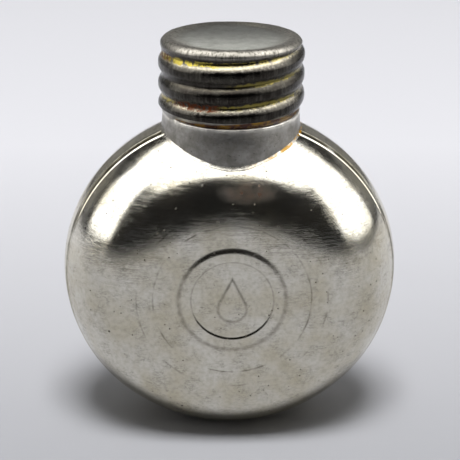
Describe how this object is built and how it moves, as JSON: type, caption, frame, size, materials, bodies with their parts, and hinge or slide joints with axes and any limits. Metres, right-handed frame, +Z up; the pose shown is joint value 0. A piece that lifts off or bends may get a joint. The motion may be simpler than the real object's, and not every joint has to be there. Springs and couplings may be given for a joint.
{
  "type": "oil bottle",
  "caption": "Small round steel oil bottle made of two soldered pressed pans, with a short neck, a rolled screw cap and an oiling brush fixed inside the cap.",
  "frame": {"origin": "middle of the small flat under the drum, on the surface the bottle stands on", "axes": "+Z up along the neck, -Y towards the marked front face, +X to the right seen from the front"},
  "size_m": [0.06, 0.0313, 0.073],
  "materials": {
    "drum_tinplate": "hot-tinned pressed steel, polished by handling, finely scratched",
    "neck_tinplate": "hot-tinned steel, dull and mottled",
    "cap_steel": "worn dark grey tinned steel with dried oil in the thread",
    "solder": "soft tin solder, smooth and slightly wavy",
    "washer_tinplate": "stamped tinned steel, oily",
    "stem_wire": "drawn steel wire, oily",
    "ferrule_tinplate": "crimped tinned steel",
    "gasket_leather": "oil-soaked stamped leather",
    "bristle": "hog bristle, dark with oil"
  },
  "bodies": {
    "flask": {"front_shell": "drum_tinplate", "rear_shell": "drum_tinplate", "seam_solder": "solder", "neck_tube": "neck_tinplate", "neck_solder": "solder"},
    "gasket": {"cap_gasket": "gasket_leather"},
    "cap": {"cap_shell": "cap_steel", "stem_foot": "washer_tinplate", "gasket_washer": "washer_tinplate", "brush_stem": "stem_wire", "brush_ferrule": "ferrule_tinplate", "bristle_tuft": "bristle"}
  },
  "joints": [
    {"name": "cap_lift", "type": "slide", "parent": "flask", "child": "gasket", "axis": [0, 0, 1], "range_m": [0, 0.00846]},
    {"name": "cap_turn", "type": "hinge", "parent": "gasket", "child": "cap", "pos_m": [0, 0, 0.0656], "axis": [0, 0, 1], "range_deg": [0, 810]}
  ],
  "couplings": [
    {"joint": "cap_lift", "follows": "cap_turn", "m_per_rad": 0.00059842}
  ]
}
